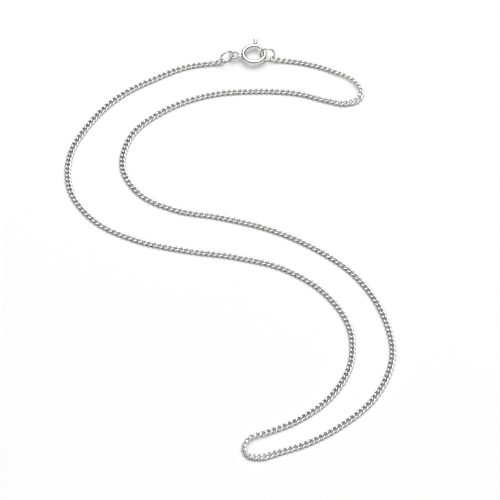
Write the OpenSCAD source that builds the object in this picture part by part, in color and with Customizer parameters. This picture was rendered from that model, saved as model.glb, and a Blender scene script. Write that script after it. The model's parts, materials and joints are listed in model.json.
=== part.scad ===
// Curb chain necklace, laid down in an S with its spring ring clasp closed.
// Millimetres. The origin is the middle of its footprint on the surface that it lies on,
// +X is to the viewer's right, +Y is away from the viewer and +Z is up.

/* [Chain] */
// Width of the chain where it lies flat
chain_w = 1.62; // [1.5:0.02:1.8]
// Thickness of the chain where it lies flat
chain_t = 0.9; // [0.8:0.05:1.1]
// Wire of one link
link_wire = 0.42; // [0.38:0.02:0.46]
// Length of one link over its ends
link_l = 2.35; // [2.2:0.05:2.5]

/* [Spring ring] */
// Diameter over the ring
clasp_d = 6.5; // [5.8:0.1:6.8]
// Diameter of the tube that the ring is bent from
tube_d = 1.15; // [1.1:0.05:1.25]
// Wall of that tube
tube_wall = 0.17; // [0.14:0.01:0.2]
// Where the tube's right end stands, in degrees round the ring from +X
mouth_from = 12; // [8:1:16]
// Where the tube's left end stands, in degrees
mouth_to = 62; // [56:1:64]
// Height of the ring's middle plane above the surface
clasp_z = 1.6; // [1.4:0.1:1.8]

/* [Soldered eye] */
// Diameter over the eye
eye_d = 2.55; // [2.4:0.05:2.8]
// Wire of the eye
eye_wire = 0.55; // [0.5:0.05:0.6]
// Length of the neck between the ring and the eye
neck_l = 0.45; // [0.35:0.05:0.6]
// Width of the neck where it leaves the ring
neck_w = 0.95; // [0.8:0.05:1.1]
// Where the eye stands round the ring, in degrees
eye_a = 183.5; // [180:0.5:187]

/* [Bolt] */
// How far the tongue reaches into the tube's right end, in degrees
tongue_grip = 6; // [3:0.5:8]
// How far the tongue runs on past its trigger, in degrees
tongue_tail = 14; // [12:1:20]
// Where the trigger stands round the ring, in degrees
trigger_a = 85; // [80:1:88]
// Diameter of the trigger's stem
stem_d = 0.5; // [0.4:0.05:0.55]
// Diameter of the trigger's head at the ring
head_d1 = 0.85; // [0.7:0.05:1]
// Diameter of the trigger's head at its outer end
head_d2 = 1.3; // [1.1:0.05:1.4]
// Length of the trigger's head
head_l = 1.1; // [0.9:0.05:1.2]

/* [Jump rings] */
// Diameter over the left ring
left_d = 3.9; // [3.7:0.05:4.1]
// Wire of the left ring
left_wire = 0.42; // [0.38:0.02:0.46]
// Which way the left ring's level diameter points, in degrees from +X
left_heading = 25; // [20:1:30]
// Diameter over the right ring
right_d = 4; // [3.8:0.05:4.2]
// Wire of the right ring
right_wire = 0.45; // [0.4:0.01:0.5]
// How far the right ring is raised from lying flat, in degrees
right_tilt = 75; // [70:1:80]

/* [Clearances] */
// Between the tongue and the tube round it, and between the stem and its slot
slide_gap = 0.08; // [0.06:0.01:0.09]
// Between rings that hang in each other
hang_gap = 0.18; // [0.15:0.01:0.22]
// Between the last link and its jump ring, along the link
hook_gap = 0.16; // [0.14:0.01:0.2]
// Between the trigger's head and the ring
head_gap = 0.08; // [0.06:0.01:0.12]

/* [Hidden] */
$fn = 96;

// Middle of the spring ring
clasp_c = [6.47, 58.5, clasp_z];
// Radius of the line that the tube and the tongue follow
ring_r = (clasp_d - tube_d) / 2;
bore_d = tube_d - 2 * tube_wall;
tongue_d = bore_d - 2 * slide_gap;
slot_w = stem_d + 2 * slide_gap;
// Middle of the tube's wall on the ring's outer side, where the neck is let in
wall_r = ring_r + (tube_d + bore_d) / 4;
eye_r = (eye_d - eye_wire) / 2;
eye_dist = clasp_d / 2 + neck_l + eye_d / 2;
eye_c = clasp_c + eye_dist * flat_dir(eye_a);
// Angle that a half width w takes up at radius r
function half_angle(w, r) = asin(w / 2 / r);
// The tongue's tip is cut to a short cone
tip_l = 0.15;
tongue_from = mouth_from - tongue_grip + atan(tip_l / ring_r);
tongue_to = trigger_a + tongue_tail;
// The bolt's whole travel draws the tongue's tip out of the mouth
travel = mouth_to - (mouth_from - tongue_grip);
slot_from = trigger_a - half_angle(slot_w, ring_r);
slot_to = trigger_a + travel + half_angle(slot_w, ring_r);
// How far the cuts run past the tube's ends, in degrees
cut_over = 1;

// The left ring stands upright and hangs in the eye at this place round it
left_tilt = 90;
left_seat_a = 210;
left_r = (left_d - left_wire) / 2;
left_axes = ring_axes(left_heading, left_tilt);
left_c = hung_centre(eye_c + eye_r * flat_dir(left_seat_a), left_r, left_wire, eye_wire, left_axes, -1);
// The right ring leans, and hangs in the spring ring at this place round it
right_heading = 0;
right_seat_a = -14;
right_r = (right_d - right_wire) / 2;
right_axes = ring_axes(right_heading, right_tilt);
right_c = hung_centre(clasp_c + ring_r * flat_dir(right_seat_a), right_r, right_wire, tube_d, right_axes, 1);

// Where the last links hang round the jump rings, in degrees from the level diameter
left_hook_a = 208;
right_hook_a = -38;
left_hook = ring_point(left_c, left_r, left_axes, left_hook_a);
right_hook = ring_point(right_c, right_r, right_axes, right_hook_a);

// Route of the chain over the surface, from the left ring to the right one:
// place across, place away from the viewer, and how far the chain is rolled over, in degrees
ROUTE = [
    [-9.5, 55.5, 0],
    [-18, 51.5, 0],
    [-27, 45.5, 0],
    [-34, 37, 0],
    [-38.5, 27, 0],
    [-38, 16, 0],
    [-32, 7, 0],
    [-21.5, 1, 0],
    [-10, -2, 0],
    [2, -4, 0],
    [13.5, -7.5, 0],
    [23, -14.5, 0],
    [29, -25, 0],
    [29, -36, 0],
    [24, -45.5, 0],
    [15.5, -52.5, 0],
    [9, -55.5, 15],
    [5.5, -57, 45],
    [4, -59.5, 60],
    [5, -62, 60],
    [7.5, -62.5, 40],
    [12, -61, 10],
    [18.5, -58.5, 0],
    [26.5, -53.5, 0],
    [34.5, -45.5, 0],
    [39, -33.5, 0],
    [37, -21, 0],
    [30.5, -9.5, 0],
    [20.5, -1, 0],
    [10, 4.5, 0],
    [-1.5, 8, 0],
    [-13, 10.5, 0],
    [-21, 15, 0],
    [-25.5, 23, 0],
    [-23.5, 33.5, 0],
    [-16, 41, 0],
    [-5.5, 46, 0],
    [6.5, 47.5, 0],
    [18.5, 46.5, 0],
    [24.5, 44.5, 10],
    [29, 43.5, 30],
    [32, 44.5, 45],
    [33, 47, 45],
    [31.5, 50.5, 30],
    [26, 54, 10],
    [19, 56.5, 0],
];
// Farthest that two sections of the swept chain stand apart
section_pitch = 8;
// Share of its length over which a last link comes down from its jump ring to the surface
link_drop = 0.6;
// Facets of the last links, along them and round their wire
link_steps = 16;
wire_sides = 6;

// Vectors
function unit(v) = v / norm(v);
function flat_dir(a) = [cos(a), sin(a), 0];
function plan(p) = [p.x, p.y];
function level(v) = [v.x, v.y, 0];

// The two axes of a ring's plane: its level diameter, and the one square to it
function ring_axes(heading, tilt) =
    [flat_dir(heading), cos(tilt) * flat_dir(heading + 90) + [0, 0, sin(tilt)]];
function ring_point(c, r, axes, a) = c + r * (cos(a) * axes[0] + sin(a) * axes[1]);
function ring_tangent(axes, a) = cos(a) * axes[1] - sin(a) * axes[0];

// Middle of a ring that stands on the surface and hangs on a bar through the point seat.
// side says on which side of the seat the ring's middle lies
function hung_centre(seat, r, wire, bar, axes, side) =
    let (rise = axes[1].z,
         across = (seat.z - wire / 2) / rise - r,
         reach = r - (wire + bar) / 2 - hang_gap)
    seat + side * sqrt(pow(reach, 2) - pow(across, 2)) * axes[0] - across * axes[1];

// Outline of the chain's cross-section, flat faces on all four sides
SECTION = [for (a = [22.5 : 45 : 359]) [chain_w, chain_t] / 2 / cos(22.5) * [[cos(a), 0], [0, sin(a)]]];
function rolled(v, roll) = [v.x * cos(roll) - v.y * sin(roll), v.x * sin(roll) + v.y * cos(roll)];
// Height of the chain's middle line when a section rolled by so much rests on the surface
function rest_height(roll) = max([for (v = SECTION) -rolled(v, roll).y]);

// Last links: each hangs on its hook and leans down towards the route.
// hook is the place, wire_dir is the way that the jump ring's wire runs there
link_half = (link_l - link_wire) / 2;
function end_dir(hook, toward) =
    unit(link_drop * link_l * unit(level(toward - hook)) - [0, 0, hook.z - rest_height(0)]);
// Part of the jump ring's wire that stands square to the link
function square_part(dir, wire_dir) = wire_dir - (wire_dir * dir) * dir;
function link_offset(ring_wire, dir, wire_dir) =
    link_half - ((link_wire + ring_wire) / 2 + hook_gap) / norm(square_part(dir, wire_dir));
left_wire_dir = ring_tangent(left_axes, left_hook_a);
right_wire_dir = ring_tangent(right_axes, right_hook_a);
left_dir = end_dir(left_hook, ROUTE[0]);
right_dir = end_dir(right_hook, ROUTE[len(ROUTE) - 1]);
left_link = left_hook + link_offset(left_wire, left_dir, left_wire_dir) * left_dir;
right_link = right_hook + link_offset(right_wire, right_dir, right_wire_dir) * right_dir;
// The swept chain begins at the far bar of a last link
left_end = left_link + link_half * left_dir;
right_end = right_link + link_half * right_dir;

// Middle line of the chain: a smooth curve through the route's points
LINE = concat([level(left_end)], ROUTE, [level(right_end)]);
last = len(LINE) - 1;
function span(i) = norm(plan(LINE[i + 1]) - plan(LINE[i]));
function run(i) = (plan(LINE[i + 1]) - plan(LINE[i])) / span(i);
function heading_at(i) =
    i == 0 ? 2 * run(0) - heading_at(1)
    : i == last ? 2 * run(last - 1) - heading_at(last - 1)
    : (run(i - 1) * span(i) + run(i) * span(i - 1)) / (span(i - 1) + span(i));
function curve_point(i, t) =
    (2 * pow(t, 3) - 3 * pow(t, 2) + 1) * plan(LINE[i])
    + (pow(t, 3) - 2 * pow(t, 2) + t) * span(i) * heading_at(i)
    + (3 * pow(t, 2) - 2 * pow(t, 3)) * plan(LINE[i + 1])
    + (pow(t, 3) - pow(t, 2)) * span(i) * heading_at(i + 1);
function curve_dir(i, t) = unit(
    6 * (t - pow(t, 2)) * run(i)
    + (3 * pow(t, 2) - 4 * t + 1) * heading_at(i)
    + (3 * pow(t, 2) - 2 * t) * heading_at(i + 1));
function roll_at(i, t) = (1 - t) * LINE[i].z + t * LINE[i + 1].z;
// Sections along the line: the span and the share of it where each one stands
STATIONS = [
    for (i = [0 : last - 1])
        let (steps = ceil(span(i) / section_pitch))
        for (k = [0 : steps - (i == last - 1 ? 0 : 1)]) [i, k / steps]
];
function station_points(i, t) =
    let (p = curve_point(i, t),
         d = curve_dir(i, t),
         roll = roll_at(i, t))
    [
        for (v = SECTION)
            let (w = rolled(v, roll))
            [p.x - w.x * d.y, p.y + w.x * d.x, w.y + rest_height(roll)]
    ];

// Triangles of a tube's side, between one section of m points and the next
function side_faces(a, b, m) = [
    for (k = [0 : m - 1]) let (n = (k + 1) % m) each [
        [a + k, b + k, b + n],
        [a + k, b + n, a + n]
    ]
];

module chain_run() {
    m = len(SECTION);
    n = len(STATIONS);
    polyhedron(
        points = [for (s = STATIONS) each station_points(s[0], s[1])],
        faces = concat(
            [[for (k = [0 : m - 1]) k]],
            [for (j = [0 : n - 2]) each side_faces(j * m, (j + 1) * m, m)],
            [[for (k = [m - 1 : -1 : 0]) (n - 1) * m + k]]));
}

// A last link: a closed oval of wire round middle, as square to the jump ring's wire as it can be
module last_link(middle, dir, wire_dir) {
    normal = unit(square_part(dir, wire_dir));
    across = cross(normal, dir);
    half_w = (chain_w - link_wire) / 2;
    polyhedron(
        points = [
            for (s = [0 : link_steps - 1])
                let (a = 360 * s / link_steps,
                     p = middle + link_half * cos(a) * dir + half_w * sin(a) * across,
                     along = unit(half_w * cos(a) * across - link_half * sin(a) * dir),
                     out = cross(along, normal))
                for (k = [0 : wire_sides - 1])
                    let (b = 360 * k / wire_sides)
                    p + link_wire / 2 * (cos(b) * out + sin(b) * normal)
        ],
        faces = [
            for (s = [0 : link_steps - 1])
                each side_faces(s * wire_sides, ((s + 1) % link_steps) * wire_sides, wire_sides)
        ]);
}

module chain() color("silver") {
    union() {
        chain_run();
        last_link(left_link, left_dir, left_wire_dir);
        last_link(right_link, right_dir, right_wire_dir);
    }
}

// A round bar bent to radius r, from one angle to another
module bent_bar(d, r, from, to) {
    rotate([0, 0, from]) rotate_extrude(angle = to - from) translate([r, 0]) circle(d = d);
}

module wire_ring(d, wire) {
    rotate_extrude() translate([(d - wire) / 2, 0]) circle(d = wire);
}

module soldered_eye() {
    neck_from = wall_r;
    neck_to = eye_dist - eye_r;
    rotate([0, 0, eye_a]) {
        translate([eye_dist, 0, 0]) wire_ring(eye_d, eye_wire);
        translate([0, 0, -eye_wire / 4])
            linear_extrude(eye_wire / 2)
            polygon([
                [neck_from, -neck_w / 2],
                [neck_to, -neck_w / 3],
                [neck_to, neck_w / 3],
                [neck_from, neck_w / 2]
            ]);
    }
}

module spring_ring_body() color("gainsboro") {
    translate(clasp_c)
    difference() {
        union() {
            bent_bar(tube_d, ring_r, mouth_to, mouth_from + 360);
            soldered_eye();
        }
        bent_bar(bore_d, ring_r, mouth_to - cut_over, mouth_from + 360 + cut_over);
        rotate([0, 0, slot_from])
            rotate_extrude(angle = slot_to - slot_from)
            translate([ring_r, -slot_w / 2])
            square([tube_d, slot_w]);
    }
}

module trigger() {
    head_from = clasp_d / 2 + head_gap;
    rotate([0, 0, trigger_a]) rotate([0, 90, 0]) {
        translate([0, 0, ring_r]) cylinder(h = head_from + head_l / 2 - ring_r, d = stem_d);
        translate([0, 0, head_from]) cylinder(h = head_l, d1 = head_d1, d2 = head_d2);
    }
}

module spring_ring_bolt() color("white") {
    translate(clasp_c) {
        bent_bar(tongue_d, ring_r, tongue_from, tongue_to);
        rotate([0, 0, tongue_from])
            translate([ring_r, 0, 0])
            rotate([90, 0, 0])
            cylinder(h = tip_l, d1 = tongue_d, d2 = tongue_d - 2 * tip_l);
        trigger();
    }
}

module left_jump_ring() color("darkgray") {
    translate(left_c)
        rotate([0, 0, left_heading])
        rotate([left_tilt, 0, 0])
        wire_ring(left_d, left_wire);
}

module right_jump_ring() color("darkgray") {
    translate(right_c)
        rotate([0, 0, right_heading])
        rotate([right_tilt, 0, 0])
        wire_ring(right_d, right_wire);
}

chain();
spring_ring_body();
spring_ring_bolt();
left_jump_ring();
right_jump_ring();
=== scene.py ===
"""Looks of the curb chain necklace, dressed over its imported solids.

The twisted links of the chain are laid along the same route as the solid chain,
the jump rings and the bolt are made as smooth wire, and every piece gets polished
silver. The pieces' sizes are in millimetres until a mesh is written, which is in
metres. The chain's route, the floor, the light and the camera are in metres.
"""

import json
import logging
import math
from dataclasses import dataclass, field
from enum import Enum

import bmesh
import bpy
from mathutils import Matrix, Vector

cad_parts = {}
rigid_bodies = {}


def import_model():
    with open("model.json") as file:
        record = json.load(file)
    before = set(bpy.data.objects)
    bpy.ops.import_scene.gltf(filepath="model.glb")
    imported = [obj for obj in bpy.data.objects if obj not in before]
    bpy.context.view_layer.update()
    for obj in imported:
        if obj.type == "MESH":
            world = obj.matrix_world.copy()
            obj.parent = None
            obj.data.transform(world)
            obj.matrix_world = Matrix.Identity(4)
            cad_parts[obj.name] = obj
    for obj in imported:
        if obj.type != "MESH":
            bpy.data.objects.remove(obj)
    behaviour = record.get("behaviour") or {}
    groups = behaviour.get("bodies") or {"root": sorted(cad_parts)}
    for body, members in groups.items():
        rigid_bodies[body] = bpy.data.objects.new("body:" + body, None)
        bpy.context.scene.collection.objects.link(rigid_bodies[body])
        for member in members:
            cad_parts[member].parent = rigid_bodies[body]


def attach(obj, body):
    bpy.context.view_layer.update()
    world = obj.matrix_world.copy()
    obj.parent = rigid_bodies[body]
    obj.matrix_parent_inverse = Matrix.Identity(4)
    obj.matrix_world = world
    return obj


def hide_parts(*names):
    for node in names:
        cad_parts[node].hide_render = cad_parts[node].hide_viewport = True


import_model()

LOG = logging.getLogger("necklace")
MM = 0.001
UP = Vector((0.0, 0.0, 1.0))
TURN = "link_turn"

Pair = tuple[float, float]
Triple = tuple[float, float, float]


class Body(Enum):
    """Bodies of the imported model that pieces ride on."""

    NECKLACE = "necklace"
    BOLT = "bolt"


class Slot(Enum):
    """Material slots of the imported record."""

    CHAIN = "chain_silver"
    CLASP = "clasp_silver"
    BOLT = "bolt_silver"
    RING = "ring_silver"


class End(Enum):
    """The two ends of the chain, with the side on which a jump ring's middle lies."""

    LEFT = -1
    RIGHT = 1


def fill(tree: bpy.types.NodeTree, node: bpy.types.Node, inputs: dict[str | int, object]) -> None:
    """Link or set inputs of a node.

    Args:
        tree: the node's tree.
        node: the node.
        inputs: by input, the socket that is linked to it or the value that it gets.
    """
    for key, value in inputs.items():
        if isinstance(value, bpy.types.NodeSocket):
            tree.links.new(value, node.inputs[key])
        else:
            node.inputs[key].default_value = value


def add_node(
    tree: bpy.types.NodeTree,
    kind: str,
    inputs: dict[str | int, object] | None = None,
    **settings: str,
) -> bpy.types.NodeOutputs:
    """Add a node to a tree.

    Args:
        tree: the tree of a material, of the sky or of the links.
        kind: type of the node.
        inputs: what its inputs get, as in fill.
        settings: the node's own properties, such as its operation.

    Returns:
        The node's outputs.
    """
    node = tree.nodes.new(kind)
    for key, value in settings.items():
        setattr(node, key, value)
    fill(tree, node, inputs or {})
    return node.outputs


def add_noise(
    tree: bpy.types.NodeTree,
    place: bpy.types.NodeSocket,
    size: float,
    detail: float,
) -> bpy.types.NodeSocket:
    """Add a noise.

    Args:
        tree: the material's tree.
        place: socket of the coordinates that it lies on.
        size: size of its patches, in mm.
        detail: octaves of the noise.

    Returns:
        The noise's socket.
    """
    inputs = {"Vector": place, "Scale": 1 / (size * MM), "Detail": detail}
    return add_node(tree, "ShaderNodeTexNoise", inputs)["Fac"]


def add_range(
    tree: bpy.types.NodeTree,
    value: bpy.types.NodeSocket,
    span: Pair,
    results: Pair,
) -> bpy.types.NodeSocket:
    """Map a span of a value to a span of results, held at both ends.

    Args:
        tree: the material's tree.
        value: socket of the value.
        span: two values.
        results: what comes out at each of them.

    Returns:
        The result's socket.
    """
    inputs = {
        "Value": value,
        "From Min": span[0],
        "From Max": span[1],
        "To Min": results[0],
        "To Max": results[1],
    }
    return add_node(tree, "ShaderNodeMapRange", inputs)["Result"]


def add_ramp(
    tree: bpy.types.NodeTree,
    value: bpy.types.NodeSocket,
    stops: Pair,
    colours: tuple[Triple, Triple],
) -> bpy.types.NodeSocket:
    """Turn a value into a colour between two others.

    Args:
        tree: the tree of a material or of the sky.
        value: socket of the value.
        stops: the value where the first colour ends, and where the second begins.
        colours: the two colours.

    Returns:
        The colour's socket.
    """
    ramp = tree.nodes.new("ShaderNodeValToRGB")
    for stop, at, colour in zip(ramp.color_ramp.elements, stops, colours):
        stop.position = at
        stop.color = (*colour, 1.0)
    fill(tree, ramp, {"Fac": value})
    return ramp.outputs["Color"]


def new_material(name: str) -> tuple[bpy.types.Material, bpy.types.NodeTree, bpy.types.Node]:
    """Make a material that has only its shader so far.

    Args:
        name: name of the material.

    Returns:
        The material, its tree and its shader.
    """
    mat = bpy.data.materials.new(name)
    mat.use_nodes = True
    return mat, mat.node_tree, mat.node_tree.nodes["Principled BSDF"]


@dataclass(frozen=True)
class PolishedSilver:
    """Polished sterling silver with the faint marks of wear and, where asked for, painted shade.

    Args:
        name: name of the material.
        bright: colour of the clean metal.
        dull: colour where handling has left a film.
        patch: size of the film's patches, in mm.
        film_detail: octaves of the film's noise.
        film_at: values of the film's noise at which the metal is dull, and is clean.
        gloss: lowest and highest roughness.
        gloss_at: values of the film's noise at which it is roughest, and is smoothest.
        mark: size of the polishing marks, in mm.
        mark_detail: octaves of their noise.
        depth: depth of the polishing marks, in mm.
        relief: strength of their shading.
        ior: index of refraction.
        painted_shade_at: middle of a round patch of painted shade that greys the metal, in mm, if
            there is one.
        painted_shade_r: inner and outer radius of the edge over which that painted shade fades, in
            mm.
        painted_shade_tone: what is left of the metal's brightness in that painted shade.
        painted_low_shade: heights in mm between which the painted shade on the lower sides fades, if
            any.
        painted_low_shade_tone: what is left of the metal's brightness in that painted shade.
    """

    name: str
    bright: Triple = (0.79, 0.79, 0.785)
    dull: Triple = (0.70, 0.70, 0.695)
    patch: float = 0.9
    film_detail: float = 3.0
    film_at: Pair = (0.35, 0.6)
    gloss: Pair = (0.06, 0.14)
    gloss_at: Pair = (0.3, 0.7)
    mark: float = 0.05
    mark_detail: float = 2.0
    depth: float = 0.0012
    relief: float = 0.35
    ior: float = 1.45
    painted_shade_at: Triple | None = None
    painted_shade_r: Pair = (1.2, 1.7)
    painted_shade_tone: float = 0.68
    painted_low_shade: Pair | None = None
    painted_low_shade_tone: float = 0.5

    def build(self) -> bpy.types.Material:
        """Make the material.

        Returns:
            The material, with its patterns on object coordinates.
        """
        mat, tree, shader = new_material(self.name)
        place = add_node(tree, "ShaderNodeTexCoord")["Object"]
        film = add_noise(tree, place, self.patch, self.film_detail)
        marks = add_noise(tree, place, self.mark, self.mark_detail)
        relief = {"Strength": self.relief, "Distance": self.depth * MM, "Height": marks}
        smoothest, roughest = self.gloss
        inputs = {
            "Metallic": 1.0,
            "IOR": self.ior,
            "Base Color": self._colour(tree, place, film),
            "Roughness": add_range(tree, film, self.gloss_at, (roughest, smoothest)),
            "Normal": add_node(tree, "ShaderNodeBump", relief)["Normal"],
        }
        fill(tree, shader, inputs)
        return mat

    def _colour(
        self,
        tree: bpy.types.NodeTree,
        place: bpy.types.NodeSocket,
        film: bpy.types.NodeSocket,
    ) -> bpy.types.NodeSocket:
        """Colour of the metal, with the film, the painted shade round a middle and the painted shade
        on the lower sides.

        Args:
            tree: the material's tree.
            place: socket of the object coordinates.
            film: socket of the film's noise.

        Returns:
            The colour's socket.
        """
        colour = add_ramp(tree, film, self.film_at, (self.dull, self.bright))
        # Painted shade: the metal is greyed within a radius of a given middle
        if self.painted_shade_at is not None:
            ends = {0: place, 1: [c * MM for c in self.painted_shade_at]}
            far = add_node(tree, "ShaderNodeVectorMath", ends, operation="DISTANCE")["Value"]
            colour = self._greyed(tree, colour, far, self.painted_shade_r, self.painted_shade_tone)
        # Painted shade: the metal is darker low down, standing in for the shade and dark reflections
        # under the links
        if self.painted_low_shade is not None:
            high = add_node(tree, "ShaderNodeSeparateXYZ", {"Vector": place})["Z"]
            colour = self._greyed(tree, colour, high, self.painted_low_shade, self.painted_low_shade_tone)
        return colour

    @staticmethod
    def _greyed(
        tree: bpy.types.NodeTree,
        colour: bpy.types.NodeSocket,
        measure: bpy.types.NodeSocket,
        span: Pair,
        tone: float,
    ) -> bpy.types.NodeSocket:
        """Darken a colour where a measured length is small.

        Args:
            tree: the material's tree.
            colour: socket of the metal's colour.
            measure: socket of the length, in metres.
            span: lengths in mm from which the darkening fades, and at which it ends.
            tone: what is left of the colour where it is darkest.

        Returns:
            The darkened colour's socket.
        """
        share = add_range(tree, measure, (span[0] * MM, span[1] * MM), (tone, 1.0))
        inputs = {0: colour, "Scale": share}
        return add_node(tree, "ShaderNodeVectorMath", inputs, operation="SCALE")["Vector"]


@dataclass(frozen=True)
class PalePaper:
    """Matt white surface that the necklace is laid on.

    Args:
        name: name of the material.
        tone: its mean brightness.
        spread: how far its grain goes to either side of that.
        grain: size of the grain, in mm.
        grain_detail: octaves of its noise.
        roughness: roughness of the surface.
        specular: strength of its reflection.
    """

    name: str = "pale_paper"
    tone: float = 0.9
    spread: float = 0.01
    grain: float = 0.6
    grain_detail: float = 2.0
    roughness: float = 0.85
    specular: float = 0.2

    def build(self) -> bpy.types.Material:
        """Make the material.

        Returns:
            The material, a white with a very faint grain.
        """
        mat, tree, shader = new_material(self.name)
        place = add_node(tree, "ShaderNodeTexCoord")["Object"]
        noise = add_noise(tree, place, self.grain, self.grain_detail)
        tones = ((self.tone - self.spread,) * 3, (self.tone + self.spread,) * 3)
        inputs = {
            "Base Color": add_ramp(tree, noise, (0.0, 1.0), tones),
            "Roughness": self.roughness,
            "Specular IOR Level": self.specular,
        }
        fill(tree, shader, inputs)
        return mat


def flat_dir(angle: float) -> Vector:
    """Level direction at an angle in degrees from +X."""
    return Vector((math.cos(math.radians(angle)), math.sin(math.radians(angle)), 0.0))


def level(v: Vector) -> Vector:
    """The level part of a vector."""
    return Vector((v.x, v.y, 0.0))


def square_part(v: Vector, along: Vector) -> Vector:
    """The part of v that stands square to the unit vector along."""
    return v - v.dot(along) * along


def round_section(
    middle: Vector,
    radius: float,
    first: Vector,
    second: Vector,
    sides: int,
) -> list[Vector]:
    """Points of a circle.

    Args:
        middle: its middle, in mm.
        radius: its radius, in mm.
        first: unit vector to its first point.
        second: unit vector to the point a quarter turn on.
        sides: how many points it has.

    Returns:
        The points, in mm.
    """
    turns = [2 * math.pi * k / sides for k in range(sides)]
    return [middle + radius * (math.cos(t) * first + math.sin(t) * second) for t in turns]


def make_object(name: str, data: bpy.types.ID) -> bpy.types.Object:
    """Link a mesh, a light or a camera into the scene as an object at the origin.

    Args:
        name: name of the object.
        data: what it shows.

    Returns:
        The object.
    """
    made = bpy.data.objects.new(name, data)
    bpy.context.scene.collection.objects.link(made)
    return made


def aim_object(made: bpy.types.Object, place: Triple, aim: Triple) -> None:
    """Put a light or a camera in its place and turn it to a point.

    Args:
        made: the light or camera.
        place: where it stands, in metres.
        aim: the point that it looks at, in metres.
    """
    way = Vector(aim) - Vector(place)
    made.location = place
    made.rotation_euler = way.to_track_quat("-Z", "Y").to_euler()


def swept_mesh(name: str, sections: list[list[Vector]], closed: bool) -> bpy.types.Mesh:
    """Skin a row of like sections.

    Args:
        name: name of the mesh.
        sections: rings of points in mm, each turning left round the way ahead.
        closed: whether the last section joins the first.

    Returns:
        A closed shell in metres. An open row gets a fan over each end.
    """
    count, sides = len(sections), len(sections[0])
    points = [p * MM for ring in sections for p in ring]
    faces: list[tuple[int, ...]] = []
    for j in range(count if closed else count - 1):
        near, far = j * sides, ((j + 1) % count) * sides
        for k in range(sides):
            after = (k + 1) % sides
            faces.append((near + k, near + after, far + after, far + k))
    if not closed:
        faces.append(tuple(reversed(range(sides))))
        faces.append(tuple((count - 1) * sides + k for k in range(sides)))
    mesh = bpy.data.meshes.new(name)
    mesh.from_pydata([tuple(p) for p in points], [], faces)
    mesh.update()
    return mesh


def smooth(mesh: bpy.types.Mesh, sharp_over: float) -> None:
    """Shade a mesh smooth, apart from edges over an angle in degrees."""
    mesh.shade_smooth()
    mesh.set_sharp_from_angle(angle=math.radians(sharp_over))


def dress(
    piece: bpy.types.Object,
    material: bpy.types.Material,
    body: Body,
    replaced: str,
) -> None:
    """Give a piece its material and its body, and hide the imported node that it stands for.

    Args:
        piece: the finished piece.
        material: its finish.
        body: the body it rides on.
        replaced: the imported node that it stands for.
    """
    piece.data.materials.clear()
    piece.data.materials.append(material)
    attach(piece, body.value)
    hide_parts(replaced)
    LOG.info("%s: %d faces on %s", piece.name, len(piece.data.polygons), body.value)


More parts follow.
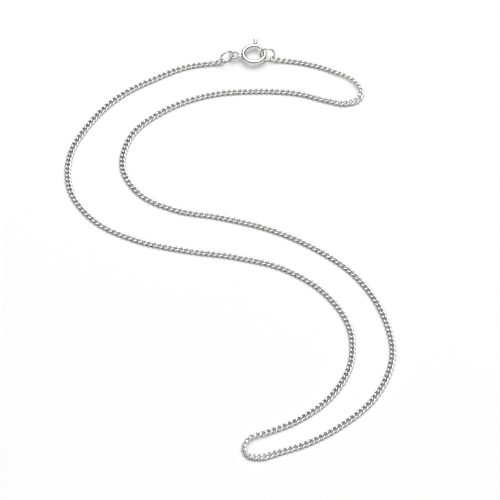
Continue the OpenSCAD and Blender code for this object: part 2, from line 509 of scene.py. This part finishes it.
@dataclass
class SpringRing:
    """The spring ring: its tube with the soldered eye, and the bolt inside.

    Lengths are in mm and angles in degrees round the ring from +X.

    Args:
        middle: middle of the ring.
        outer_d: diameter over the ring.
        tube_d: diameter of its tube.
        tube_wall: wall of the tube.
        tongue_d: diameter of the tongue.
        tongue_from: where the tongue's tip is.
        tongue_to: where its tail is.
        tip_l: length of its rounded tip, as a share of the tongue's radius.
        trigger_a: where the trigger is.
        stem_d: diameter of the trigger's stem.
        head_gap: gap between the tube and the trigger's head.
        head_l: length of the head.
        head_d: diameters of the head, at the tube and at its outer end.
        eye_d: diameter over the soldered eye.
        eye_wire: diameter of the eye's wire.
        eye_dist: distance of the eye's middle from the ring's.
        eye_a: where the eye is.
    """

    middle: Vector = field(default_factory=lambda: Vector((6.47, 58.5, 1.6)))
    outer_d: float = 6.5
    tube_d: float = 1.15
    tube_wall: float = 0.17
    tongue_d: float = 0.65
    tongue_from: float = 6.0
    tongue_to: float = 99.0
    tip_l: float = 0.7
    trigger_a: float = 85.0
    stem_d: float = 0.5
    head_gap: float = 0.08
    head_l: float = 1.1
    head_d: Pair = (0.85, 1.3)
    eye_d: float = 2.55
    eye_wire: float = 0.55
    eye_dist: float = 4.975
    eye_a: float = 183.5

    # Distance under which the copied solid's double points are merged, and the angles
    # in degrees over which edges stay sharp
    MERGE = 0.0005
    BODY_SHARP = 32.0
    BOLT_SHARP = 50.0

    # A corner lies on a round surface when it is this near to it in mm, and when its
    # face looks this share of the way out
    NEAR = 0.01
    FACING = 0.9

    # Sections along the tongue and its tip, the share of a step from the tip to the
    # first one, and the points round the tongue and round the trigger
    TONGUE_STEPS = 40
    TIP_STEPS = 6
    TIP_START = 0.15
    TONGUE_SIDES = 20
    TRIGGER_SIDES = 32

    # Sections of the trigger's head from the tube outward: share of the head's length,
    # mm added to that, share of its widening, and mm added to its radius
    HEAD_ROWS = (
        (0.0, 0.0, 0.0, -0.06),
        (0.0, 0.02, 0.0, -0.02),
        (0.0, 0.07, 0.0, 0.0),
        (0.35, 0.0, 0.22, 0.0),
        (0.65, 0.0, 0.55, 0.0),
        (1.0, -0.14, 1.0, -0.02),
        (1.0, -0.07, 1.0, 0.0),
        (1.0, -0.02, 1.0, -0.03),
        (1.0, 0.0, 1.0, -0.09),
        (1.0, -0.03, 1.0, -0.2),
    )

    @property
    def ring_r(self) -> float:
        """Radius of the tube's middle line."""
        return (self.outer_d - self.tube_d) / 2

    @property
    def eye(self) -> Vector:
        """Middle of the soldered eye."""
        return self.middle + self.eye_dist * flat_dir(self.eye_a)

    @property
    def eye_r(self) -> float:
        """Radius of the middle line of the eye's wire."""
        return (self.eye_d - self.eye_wire) / 2

    def eye_point(self, angle: float) -> Vector:
        """Place on the eye's middle line at an angle round it."""
        return self.eye + self.eye_r * flat_dir(angle)

    def ring_point(self, angle: float) -> Vector:
        """Place on the tube's middle line at an angle round the ring."""
        return self.middle + self.ring_r * flat_dir(angle)

    def build_body(self, material: bpy.types.Material) -> bpy.types.Object:
        """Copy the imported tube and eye, merge the copy and shade it smooth.

        Args:
            material: finish of the clasp.

        Returns:
            The tube with its eye.
        """
        source = next(o for o in bpy.data.objects if o.name == "spring_ring_body")
        mesh = source.data.copy()
        mesh.name = "clasp_tube"
        shell = bmesh.new()
        shell.from_mesh(mesh)
        bmesh.ops.remove_doubles(shell, verts=shell.verts, dist=self.MERGE * MM)
        shell.to_mesh(mesh)
        shell.free()
        smooth(mesh, self.BODY_SHARP)
        self._set_round_normals(mesh)
        piece = make_object("clasp_tube", mesh)
        dress(piece, material, Body.NECKLACE, "spring_ring_body")
        return piece

    def _set_round_normals(self, mesh: bpy.types.Mesh) -> None:
        """Give the corners on round surfaces the true normals of those surfaces.

        Args:
            mesh: the tube with its eye, in metres.
        """
        tube_r = self.tube_d / 2
        rounds = (
            (self.middle, self.ring_r, tube_r, 1.0),
            (self.middle, self.ring_r, tube_r - self.tube_wall, -1.0),
            (self.eye, self.eye_r, self.eye_wire / 2, 1.0),
        )
        normals = [Vector(corner.vector) for corner in mesh.corner_normals]
        for face in mesh.polygons:
            for loop in face.loop_indices:
                spot = mesh.vertices[mesh.loops[loop].vertex_index].co / MM
                for middle, ring_r, wire_r, sign in rounds:
                    line = middle + ring_r * level(spot - middle).normalized()
                    out = spot - line
                    near = abs(out.length - wire_r) < self.NEAR
                    if near and sign * out.dot(face.normal) > self.FACING * wire_r:
                        normals[loop] = sign * out.normalized()
                        break
        mesh.normals_split_custom_set([tuple(n) for n in normals])

    def build_bolt(self, material: bpy.types.Material) -> bpy.types.Object:
        """Make the tongue with its rounded tip, and the trigger that draws it back.

        Args:
            material: finish of the bolt.

        Returns:
            The bolt, one object of two closed shells.
        """
        shell = bmesh.new()
        shell.from_mesh(swept_mesh("tongue", self._tongue_sections(), closed=False))
        shell.from_mesh(swept_mesh("trigger", self._trigger_sections(), closed=False))
        mesh = bpy.data.meshes.new("clasp_bolt")
        shell.to_mesh(mesh)
        shell.free()
        smooth(mesh, self.BOLT_SHARP)
        piece = make_object("clasp_bolt", mesh)
        dress(piece, material, Body.BOLT, "spring_ring_bolt")
        return piece

    def _tongue_sections(self) -> list[list[Vector]]:
        """Sections of the tongue.

        Returns:
            Rings of points in mm, from its rounded tip to its tail.
        """
        radius = self.tongue_d / 2
        tip_angle = math.degrees(radius / self.ring_r) * self.tip_l
        rows: list[Pair] = []
        for k in range(self.TIP_STEPS):
            share = (k + self.TIP_START) / self.TIP_STEPS
            rounded = radius * math.sqrt(1 - (1 - share) ** 2)
            rows.append((self.tongue_from + tip_angle * share, rounded))
        start = self.tongue_from + tip_angle
        for k in range(self.TONGUE_STEPS + 1):
            rows.append((start + (self.tongue_to - start) * k / self.TONGUE_STEPS, radius))
        return [
            round_section(self.ring_point(angle), r, UP, flat_dir(angle), self.TONGUE_SIDES)
            for angle, r in rows
        ]

    def _trigger_sections(self) -> list[list[Vector]]:
        """Sections of the trigger.

        Returns:
            Rings of points in mm, from inside the tongue to its outer face.
        """
        head_from = self.outer_d / 2 + self.head_gap
        near, far = self.head_d[0] / 2, self.head_d[1] / 2
        rows = [(self.ring_r, self.stem_d / 2), (head_from, self.stem_d / 2)]
        for along, further, widened, wider in self.HEAD_ROWS:
            reach = head_from + along * self.head_l + further
            rows.append((reach, near + widened * (far - near) + wider))
        out = flat_dir(self.trigger_a)
        side = UP.cross(out)
        return [
            round_section(self.middle + reach * out, r, side, UP, self.TRIGGER_SIDES)
            for reach, r in rows
        ]


@dataclass
class JumpRing:
    """A closed ring of wire that stands on the surface and hangs on a bar.

    Args:
        name: name of the piece.
        node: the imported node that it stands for.
        end: which end of the chain hangs on it.
        outer_d: diameter over the ring, in mm.
        wire: diameter of its wire, in mm.
        heading: way of its level diameter, in degrees from +X.
        tilt: how far it is raised from lying flat, in degrees.
        seat: place on the bar that it hangs on, in mm.
        bar: diameter of that bar, in mm.
        hook_a: where the last link hangs round the ring, in degrees.
        seam_a: where the wire's ends were closed, in degrees.
        hang_gap: gap between the ring and the bar, in mm.
        seam_half: half width of the groove at the seam, in degrees.
        seam_depth: depth of that groove, in mm.
    """

    name: str
    node: str
    end: End
    outer_d: float
    wire: float
    heading: float
    tilt: float
    seat: Vector
    bar: float
    hook_a: float
    seam_a: float
    hang_gap: float = 0.18
    seam_half: float = 1.6
    seam_depth: float = 0.05

    # Sections round the ring, more of them this many degrees to either side of the
    # seam, points round the wire, and the angle over which edges stay sharp
    STEPS = 120
    SEAM_CUTS = (0.5, 1.2)
    SIDES = 20
    SHARP = 60.0

    @property
    def radius(self) -> float:
        """Radius of the wire's middle line."""
        return (self.outer_d - self.wire) / 2

    @property
    def axes(self) -> tuple[Vector, Vector]:
        """Axes of the ring's plane.

        Returns:
            Its level diameter, and the direction in its plane square to that.
        """
        rise = math.radians(self.tilt)
        up_ring = math.cos(rise) * flat_dir(self.heading + 90) + math.sin(rise) * UP
        return flat_dir(self.heading), up_ring

    @property
    def centre(self) -> Vector:
        """Middle of the ring.

        Returns:
            The middle in mm, where it stands on the surface with its gap to the bar.
        """
        first, second = self.axes
        across = (self.seat.z - self.wire / 2) / second.z - self.radius
        reach = self.radius - (self.wire + self.bar) / 2 - self.hang_gap
        along = math.sqrt(reach**2 - across**2)
        return self.seat + self.end.value * along * first - across * second

    def point(self, angle: float) -> Vector:
        """Place on the wire's middle line.

        Args:
            angle: angle round the ring, in degrees.

        Returns:
            The place, in mm.
        """
        first, second = self.axes
        turn = math.radians(angle)
        return self.centre + self.radius * (math.cos(turn) * first + math.sin(turn) * second)

    def tangent(self, angle: float) -> Vector:
        """Way of the wire.

        Args:
            angle: angle round the ring, in degrees.

        Returns:
            The unit vector along the wire.
        """
        first, second = self.axes
        turn = math.radians(angle)
        return math.cos(turn) * second - math.sin(turn) * first

    def build(self, material: bpy.types.Material) -> bpy.types.Object:
        """Make the ring, with the fine line where the wire's ends meet.

        Args:
            material: finish of the ring.

        Returns:
            The ring.
        """
        first, second = self.axes
        normal = first.cross(second)
        offsets = {360 * k / self.STEPS for k in range(self.STEPS)}
        for cut in self.SEAM_CUTS:
            offsets |= {cut, 360 - cut}
        sections = []
        for offset in sorted(offsets):
            off = min(offset, 360 - offset)
            groove = self.seam_depth * max(0.0, 1 - off / self.seam_half)
            mid = self.point(self.seam_a + offset)
            out = (mid - self.centre).normalized()
            sections.append(round_section(mid, self.wire / 2 - groove, normal, out, self.SIDES))
        mesh = swept_mesh(self.name, sections, closed=True)
        smooth(mesh, self.SHARP)
        piece = make_object(self.name, mesh)
        dress(piece, material, Body.NECKLACE, self.node)
        return piece


@dataclass
class LinkPlace:
    """Where one link lies.

    Args:
        middle: its middle, in mm.
        ahead: unit vector along the chain.
        roll: how far it is rolled over, in degrees.
    """

    middle: Vector
    ahead: Vector
    roll: float

    def rotation(self) -> Matrix:
        """Turn of the link.

        Returns:
            The turn that takes a link's own axes to its place in the chain.
        """
        side = UP.cross(self.ahead).normalized()
        top = self.ahead.cross(side)
        axes = Matrix((self.ahead, side, top)).transposed()
        return axes @ Matrix.Rotation(math.radians(self.roll), 3, "X")


@dataclass
class CurbChain:
    """The curb chain: one twisted link laid again and again along the route.

    Args:
        left: the jump ring where the chain begins.
        right: the jump ring where it ends.
        wire: diameter of a link's wire, in mm.
        long_r: half length of a link's middle line, in mm.
        wide_r: half width of a link's middle line, in mm.
        twist: how far each end of a link is turned out of its plane, in degrees.
        flat: half the thickness that the links are filed down to, in mm.
        pitch: distance from link to link, in mm.
        link_steps: facets along a link.
        wire_sides: facets round its wire.
        end_gap: play between a last link and its jump ring, in mm.
        end_roll: how far the last links are rolled to hook their rings, in degrees.
        roll_fade: links over which that roll dies away.
        drop: level distance over which the chain comes down from a ring, in mm.
        wobble: how far single links are out of true, in degrees.
        seed: seed of that play.
    """

    left: JumpRing
    right: JumpRing
    wire: float = 0.42
    long_r: float = 0.965
    wide_r: float = 0.6
    twist: float = -50.0
    flat: float = 0.35
    pitch: float = 1.32
    link_steps: int = 16
    wire_sides: int = 6
    end_gap: float = 0.16
    end_roll: Pair = (-30.0, 15.0)
    roll_fade: int = 3
    drop: float = 1.38
    wobble: float = 0.5
    seed: int = 7

    # Points round a link at which its height is worked out, and along each stretch of
    # the route
    OVAL_STEPS = 72
    CURVE_STEPS = 60

    # Route over the surface, from the left ring to the right one: metres across, metres
    # away from the viewer, and how far the chain is rolled over there, in degrees
    ROUTE = (
        (-0.0095, 0.0555, 0),
        (-0.018, 0.0515, 0),
        (-0.027, 0.0455, 0),
        (-0.034, 0.037, 0),
        (-0.0385, 0.027, 0),
        (-0.038, 0.016, 0),
        (-0.032, 0.007, 0),
        (-0.0215, 0.001, 0),
        (-0.01, -0.002, 0),
        (0.002, -0.004, 0),
        (0.0135, -0.0075, 0),
        (0.023, -0.0145, 0),
        (0.029, -0.025, 0),
        (0.029, -0.036, 0),
        (0.024, -0.0455, 0),
        (0.0155, -0.0525, 0),
        (0.009, -0.0555, 15),
        (0.0055, -0.057, 45),
        (0.004, -0.0595, 60),
        (0.005, -0.062, 60),
        (0.0075, -0.0625, 40),
        (0.012, -0.061, 10),
        (0.0185, -0.0585, 0),
        (0.0265, -0.0535, 0),
        (0.0345, -0.0455, 0),
        (0.039, -0.0335, 0),
        (0.037, -0.021, 0),
        (0.0305, -0.0095, 0),
        (0.0205, -0.001, 0),
        (0.01, 0.0045, 0),
        (-0.0015, 0.008, 0),
        (-0.013, 0.0105, 0),
        (-0.021, 0.015, 0),
        (-0.0255, 0.023, 0),
        (-0.0235, 0.0335, 0),
        (-0.016, 0.041, 0),
        (-0.0055, 0.046, 0),
        (0.0065, 0.0475, 0),
        (0.0185, 0.0465, 0),
        (0.0245, 0.0445, 10),
        (0.029, 0.0435, 30),
        (0.032, 0.0445, 45),
        (0.033, 0.047, 45),
        (0.0315, 0.0505, 30),
        (0.026, 0.054, 10),
        (0.019, 0.0565, 0),
    )

    def build(self, material: bpy.types.Material) -> bpy.types.Object:
        """Lay the links along the route.

        Args:
            material: finish of the links.

        Returns:
            All links as one plain mesh.
        """
        places = self._places()
        seeds = bpy.data.meshes.new("link_places")
        seeds.from_pydata([tuple(p.middle * MM) for p in places], [], [])
        turns = seeds.attributes.new(TURN, "FLOAT_VECTOR", "POINT")
        turns.data.foreach_set("vector", [c for p in places for c in p.rotation().to_euler()])
        maker = make_object("link_places", seeds)
        tree = LinkTree("lay_links").build()
        modifier = maker.modifiers.new("lay_links", "NODES")
        modifier.node_group = tree
        values = {
            "Wire": self.wire,
            "Half Length": self.long_r,
            "Half Width": self.wide_r,
            "Twist": math.radians(self.twist),
            "Filed Half": self.flat,
            "Link Steps": self.link_steps,
            "Wire Sides": self.wire_sides,
            "Millimetre": MM,
            "Wobble": math.radians(self.wobble),
            "Seed": self.seed,
            "Silver": material,
        }
        for item in tree.interface.items_tree:
            if item.item_type == "SOCKET" and item.in_out == "INPUT" and item.name in values:
                modifier[item.identifier] = values[item.name]
        bpy.context.view_layer.update()
        graph = bpy.context.evaluated_depsgraph_get()
        mesh = bpy.data.meshes.new_from_object(maker.evaluated_get(graph))
        mesh.name = "curb_links"
        bpy.data.objects.remove(maker)
        if TURN in mesh.attributes:
            mesh.attributes.remove(mesh.attributes[TURN])
        mesh.shade_smooth()
        piece = make_object("curb_links", mesh)
        dress(piece, material, Body.NECKLACE, "chain")
        LOG.info("curb_links: %d links", len(places))
        return piece

    def _rest_height(self, turn: Matrix) -> float:
        """Height of a link's middle over the surface when its lowest point rests there.

        Args:
            turn: the link's turn.

        Returns:
            The height in mm, with room for the link's play.
        """
        low = 0.0
        down = turn.transposed() @ (-self.wire / 2 * UP)
        for k in range(self.OVAL_STEPS):
            t = 2 * math.pi * k / self.OVAL_STEPS
            lean = math.radians(self.twist) * math.cos(t)
            wide = self.wide_r * math.sin(t)
            spot = Vector((self.long_r * math.cos(t), wide * math.cos(lean), wide * math.sin(lean)))
            spot += down
            spot.z = max(-self.flat, min(self.flat, spot.z))
            low = min(low, (turn @ spot).z)
        return self.long_r * math.sin(math.radians(self.wobble)) - low

    def _end_link(self, ring: JumpRing, toward: Vector) -> tuple[Vector, Vector]:
        """Middle of a last link, and its way from the ring down to the surface.

        Args:
            ring: the jump ring that it hangs on.
            toward: the nearest point of the route, in mm.

        Returns:
            The link's middle and the unit vector away from the ring.
        """
        hook = ring.point(ring.hook_a)
        fall = hook.z - self._rest_height(Matrix.Identity(3))
        away = (self.drop * level(toward - hook).normalized() - fall * UP).normalized()
        square = square_part(ring.tangent(ring.hook_a), away).length
        reach = self.long_r - ((self.wire + ring.wire) / 2 + self.end_gap) / square
        return hook + reach * away, away

    def _line(self, first: Vector, last: Vector) -> list[Triple]:
        """Fine points of the smooth curve through the route, in mm, with their roll.

        Args:
            first: where the curve begins.
            last: where it ends.

        Returns:
            Rows of place across, place away and roll.
        """
        rows = [(first.x, first.y, 0.0)]
        rows += [(x / MM, y / MM, roll) for x, y, roll in self.ROUTE]
        rows.append((last.x, last.y, 0.0))
        spots = [Vector(row[:2]) for row in rows]
        spans = [(b - a).length for a, b in zip(spots, spots[1:])]
        runs = [(b - a) / h for a, b, h in zip(spots, spots[1:], spans)]
        ways = [
            (runs[i - 1] * spans[i] + runs[i] * spans[i - 1]) / (spans[i - 1] + spans[i])
            for i in range(1, len(spots) - 1)
        ]
        ways = [2 * runs[0] - ways[0], *ways, 2 * runs[-1] - ways[-1]]
        fine = []
        for i, span in enumerate(spans):
            for k in range(self.CURVE_STEPS):
                t = k / self.CURVE_STEPS
                spot = (
                    (2 * t**3 - 3 * t**2 + 1) * spots[i]
                    + (t**3 - 2 * t**2 + t) * span * ways[i]
                    + (3 * t**2 - 2 * t**3) * spots[i + 1]
                    + (t**3 - t**2) * span * ways[i + 1]
                )
                fine.append((spot.x, spot.y, (1 - t) * rows[i][2] + t * rows[i + 1][2]))
        fine.append(rows[-1])
        return fine

    def _places(self) -> list[LinkPlace]:
        """Places of all links.

        Returns:
            The places, a pitch apart along the route, from the left ring to the right one.
        """
        route = [Vector((x / MM, y / MM, 0.0)) for x, y, _ in self.ROUTE]
        first, away_first = self._end_link(self.left, route[0])
        last, away_last = self._end_link(self.right, route[-1])
        fine = self._line(first + self.pitch * away_first, last + self.pitch * away_last)
        runs = [math.dist(a[:2], b[:2]) for a, b in zip(fine, fine[1:])]
        total = sum(runs)
        count = round(total / self.pitch)
        spots: list[Vector] = []
        rolls: list[float] = []
        piece, walked = 0, 0.0
        for k in range(count + 1):
            want = total * k / count
            while piece < len(runs) - 1 and walked + runs[piece] < want:
                walked += runs[piece]
                piece += 1
            share = min(1.0, (want - walked) / runs[piece])
            x, y, roll = (a + (b - a) * share for a, b in zip(fine[piece], fine[piece + 1]))
            turn = Matrix.Rotation(math.radians(roll), 3, "X")
            spots.append(Vector((x, y, self._rest_height(turn))))
            rolls.append(roll)
        spots = [first, *spots, last]
        rolls = [0.0, *rolls, 0.0]
        places = []
        for k, (spot, roll) in enumerate(zip(spots, rolls)):
            before, after = spots[max(0, k - 1)], spots[min(len(spots) - 1, k + 1)]
            ahead = (after - before).normalized()
            for extra, away in zip(self.end_roll, (k, len(spots) - 1 - k)):
                roll += extra * max(0.0, 1 - away / self.roll_fade)
            places.append(LinkPlace(spot, ahead, roll))
            # Raised in place, so that the way of the next link follows too
            spot.z = max(spot.z, self._rest_height(places[-1].rotation()))
        places[0].ahead = away_first
        places[-1].ahead = -away_last
        return places


@dataclass
class LinkTree:
    """Geometry Nodes tree that makes one twisted link and lays it at every place.

    Args:
        name: name of the tree.
        tree: the tree itself, which build makes.
    """

    name: str
    tree: bpy.types.NodeTree = field(init=False)

    # Name and kind of each of the tree's inputs
    INPUTS = (
        ("Places", "NodeSocketGeometry"),
        ("Wire", "NodeSocketFloat"),
        ("Half Length", "NodeSocketFloat"),
        ("Half Width", "NodeSocketFloat"),
        ("Twist", "NodeSocketFloat"),
        ("Filed Half", "NodeSocketFloat"),
        ("Link Steps", "NodeSocketInt"),
        ("Wire Sides", "NodeSocketInt"),
        ("Millimetre", "NodeSocketFloat"),
        ("Wobble", "NodeSocketFloat"),
        ("Seed", "NodeSocketInt"),
        ("Silver", "NodeSocketMaterial"),
    )

    def build(self) -> bpy.types.NodeTree:
        """Make the tree.

        Returns:
            The tree, with its sizes as named inputs.
        """
        self.tree = bpy.data.node_groups.new(self.name, "GeometryNodeTree")
        for label, kind in self.INPUTS:
            self.tree.interface.new_socket(label, in_out="INPUT", socket_type=kind)
        self.tree.interface.new_socket("Chain", in_out="OUTPUT", socket_type="NodeSocketGeometry")
        given = add_node(self.tree, "NodeGroupInput")
        inputs = {
            "Points": given["Places"],
            "Instance": self._link_mesh(given),
            "Rotation": self._turn(given),
            "Scale": given["Millimetre"],
        }
        laid = add_node(self.tree, "GeometryNodeInstanceOnPoints", inputs)["Instances"]
        real = add_node(self.tree, "GeometryNodeRealizeInstances", {"Geometry": laid})["Geometry"]
        inputs = {"Geometry": real, "Material": given["Silver"]}
        dressed = add_node(self.tree, "GeometryNodeSetMaterial", inputs)["Geometry"]
        add_node(self.tree, "NodeGroupOutput", {"Chain": dressed})
        return self.tree

    def _math(self, kind: str, *terms: object) -> bpy.types.NodeSocket:
        """Result of a math node, whose terms are sockets or numbers."""
        return add_node(self.tree, "ShaderNodeMath", dict(enumerate(terms)), operation=kind)["Value"]

    def _spot(self) -> bpy.types.NodeOutputs:
        """X, Y and Z of each point."""
        spot = add_node(self.tree, "GeometryNodeInputPosition")["Position"]
        return add_node(self.tree, "ShaderNodeSeparateXYZ", {"Vector": spot})

    def _moved(
        self,
        geometry: bpy.types.NodeSocket,
        x: bpy.types.NodeSocket,
        y: bpy.types.NodeSocket,
        z: bpy.types.NodeSocket,
    ) -> bpy.types.NodeSocket:
        """Move the points of a geometry.

        Args:
            geometry: socket of the geometry.
            x: socket of the points' new X.
            y: socket of their new Y.
            z: socket of their new Z.

        Returns:
            The moved geometry's socket.
        """
        place = add_node(self.tree, "ShaderNodeCombineXYZ", {"X": x, "Y": y, "Z": z})["Vector"]
        inputs = {"Geometry": geometry, "Position": place}
        return add_node(self.tree, "GeometryNodeSetPosition", inputs)["Geometry"]

    def _link_mesh(self, given: bpy.types.NodeOutputs) -> bpy.types.NodeSocket:
        """One link in mm: an oval of round wire whose ends are turned against each other.

        Args:
            given: outputs of the tree's group input.

        Returns:
            The link's geometry socket.
        """
        inputs = {"Radius": 1.0, "Resolution": given["Link Steps"]}
        circle = add_node(self.tree, "GeometryNodeCurvePrimitiveCircle", inputs)["Curve"]
        spot = self._spot()
        long = self._math("MULTIPLY", spot["X"], given["Half Length"])
        wide = self._math("MULTIPLY", spot["Y"], given["Half Width"])
        lean = self._math("MULTIPLY", spot["X"], given["Twist"])
        level_part = self._math("MULTIPLY", wide, self._math("COSINE", lean))
        raised_part = self._math("MULTIPLY", wide, self._math("SINE", lean))
        bent = self._moved(circle, long, level_part, raised_part)
        radius = self._math("MULTIPLY", given["Wire"], 0.5)
        inputs = {"Radius": radius, "Resolution": given["Wire Sides"]}
        section = add_node(self.tree, "GeometryNodeCurvePrimitiveCircle", inputs)["Curve"]
        inputs = {"Curve": bent, "Profile Curve": section}
        skin = add_node(self.tree, "GeometryNodeCurveToMesh", inputs)["Mesh"]
        return self._filed(skin, given["Filed Half"])

    def _filed(self, mesh: bpy.types.NodeSocket, half: bpy.types.NodeSocket) -> bpy.types.NodeSocket:
        """File a link's two faces flat.

        Args:
            mesh: socket of the round link.
            half: socket of half the thickness that is left.

        Returns:
            The filed link's geometry socket.
        """
        spot = self._spot()
        kept = self._math("MINIMUM", spot["Z"], half)
        kept = self._math("MAXIMUM", kept, self._math("MULTIPLY", half, -1.0))
        return self._moved(mesh, spot["X"], spot["Y"], kept)

    def _turn(self, given: bpy.types.NodeOutputs) -> bpy.types.NodeSocket:
        """Turn of each link: the one stored at its place, and a little play.

        Args:
            given: outputs of the tree's group input.

        Returns:
            The rotation's socket.
        """
        stored = add_node(
            self.tree,
            "GeometryNodeInputNamedAttribute",
            {"Name": TURN},
            data_type="FLOAT_VECTOR",
        )["Attribute"]
        turn = add_node(self.tree, "FunctionNodeEulerToRotation", {"Euler": stored})["Rotation"]
        least = self._math("MULTIPLY", given["Wobble"], -1.0)
        play = add_node(
            self.tree,
            "FunctionNodeRandomValue",
            {"Min": least, "Max": given["Wobble"], "Seed": given["Seed"]},
            data_type="FLOAT_VECTOR",
        )["Value"]
        loose = add_node(self.tree, "FunctionNodeEulerToRotation", {"Euler": play})["Rotation"]
        return add_node(
            self.tree,
            "FunctionNodeRotateRotation",
            {"Rotation": turn, "Rotate By": loose},
            rotation_space="LOCAL",
        )["Rotation"]


@dataclass(frozen=True)
class SoftBox:
    """A soft light.

    Args:
        name: name of the light.
        place: where it stands, in metres.
        aim: the point that it shines at, in metres.
        size: its two sides, in metres.
        power: its power, in watts.
    """

    name: str
    place: Triple
    aim: Triple
    size: Pair
    power: float

    def build(self) -> bpy.types.Object:
        """Make the light.

        Returns:
            The light.
        """
        data = bpy.data.lights.new(self.name, "AREA")
        data.shape = "RECTANGLE"
        data.size, data.size_y = self.size
        data.energy = self.power
        made = make_object(self.name, data)
        aim_object(made, self.place, self.aim)
        return made


@dataclass
class Studio:
    """Floor, soft light and camera, as the photograph was taken.

    Args:
        floor_half: half side of the floor, in metres.
        camera_place: where the camera stands, in metres.
        camera_aim: the point that it looks at, in metres.
        lens: focal length, in mm.
        sensor: width of the sensor, in mm.
        clip: nearest and farthest distance that the camera sees, in metres.
        key_light: the large light over the necklace.
        sky: strength of the light from all round.
        horizon: brightness of the sky low down.
        sky_from: rise of a ray up to which the sky stays like that.
        sky_to: rise of a ray from which the sky is white.
    """

    floor_half: float = 3.0
    camera_place: Triple = (0.005454, -0.628654, 0.8202)
    camera_aim: Triple = (0.005454, -0.001564, 0.0)
    lens: float = 309.6
    sensor: float = 36.0
    clip: Pair = (0.01, 50.0)
    key_light: SoftBox = SoftBox(
        name="key_light",
        place=(0.15, 0.4, 1.4),
        aim=(0.0, 0.0, 0.0),
        size=(1.6, 1.6),
        power=17.3,
    )
    sky: float = 0.81
    horizon: float = 0.03
    sky_from: float = 0.45
    sky_to: float = 0.7

    def build(self) -> None:
        """Make the floor, the sky, the light and the camera."""
        self._floor()
        self._sky()
        self.key_light.build()
        self._camera()
        view = bpy.context.scene.view_settings
        view.view_transform = "Standard"
        view.look = "None"
        view.exposure = 0.0

    def _floor(self) -> None:
        """A level white surface under the necklace."""
        half = self.floor_half
        mesh = bpy.data.meshes.new("floor")
        corners = [(-half, -half, 0), (half, -half, 0), (half, half, 0), (-half, half, 0)]
        mesh.from_pydata(corners, [], [(0, 1, 2, 3)])
        floor = make_object("floor", mesh)
        mesh.materials.append(PalePaper().build())

    def _sky(self) -> None:
        """Soft light from all round that is brightest overhead."""
        world = bpy.data.worlds.new("studio_sky")
        world.use_nodes = True
        bpy.context.scene.world = world
        tree = world.node_tree
        way = add_node(tree, "ShaderNodeTexCoord")["Generated"]
        rise = add_node(tree, "ShaderNodeSeparateXYZ", {"Vector": way})["Z"]
        colours = ((self.horizon,) * 3, (1.0, 1.0, 1.0))
        colour = add_ramp(tree, rise, (self.sky_from, self.sky_to), colours)
        fill(tree, tree.nodes["Background"], {"Color": colour, "Strength": self.sky})

    def _camera(self) -> None:
        """A long lens at the photograph's angle, level and unshifted."""
        data = bpy.data.cameras.new("photo_camera")
        data.lens = self.lens
        data.sensor_width = self.sensor
        data.clip_start, data.clip_end = self.clip
        made = make_object("photo_camera", data)
        aim_object(made, self.camera_place, self.camera_aim)
        bpy.context.scene.camera = made


def main() -> None:
    """Build and dress the necklace, then set the scene round it."""
    logging.basicConfig(level=logging.INFO, format="%(name)s: %(message)s")
    clasp = SpringRing()
    # Painted shade: the whole soldered eye is greyed, standing in for the darker reflections that it
    # shows
    clasp_silver = PolishedSilver("clasp_silver", gloss=(0.05, 0.12), painted_shade_at=tuple(clasp.eye))
    clasp.build_body(clasp_silver.build())
    clasp.build_bolt(PolishedSilver("bolt_silver", gloss=(0.08, 0.16)).build())
    ring_silver = PolishedSilver(
        "ring_silver",
        bright=(0.6, 0.6, 0.595),
        dull=(0.5, 0.5, 0.495),
        gloss=(0.1, 0.2),
    ).build()
    left = JumpRing(
        name="left_ring",
        node="left_jump_ring",
        end=End.LEFT,
        outer_d=3.9,
        wire=0.42,
        heading=25.0,
        tilt=90.0,
        seat=clasp.eye_point(angle=210.0),
        bar=clasp.eye_wire,
        hook_a=208.0,
        seam_a=120.0,
    )
    right = JumpRing(
        name="right_ring",
        node="right_jump_ring",
        end=End.RIGHT,
        outer_d=4.0,
        wire=0.45,
        heading=0.0,
        tilt=75.0,
        seat=clasp.ring_point(angle=-14.0),
        bar=clasp.tube_d,
        hook_a=-38.0,
        seam_a=60.0,
    )
    left.build(ring_silver)
    right.build(ring_silver)
    # Painted shade: the links' lower sides are darkened, standing in for the shade and dark
    # reflections there
    chain_silver = PolishedSilver(
        "chain_silver",
        bright=(0.86, 0.86, 0.855),
        dull=(0.76, 0.76, 0.755),
        painted_low_shade=(0.2, 0.55),
        painted_low_shade_tone=0.45,
    ).build()
    CurbChain(left, right).build(chain_silver)
    Studio().build()


if __name__ == "__main__":
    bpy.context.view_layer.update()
    main()
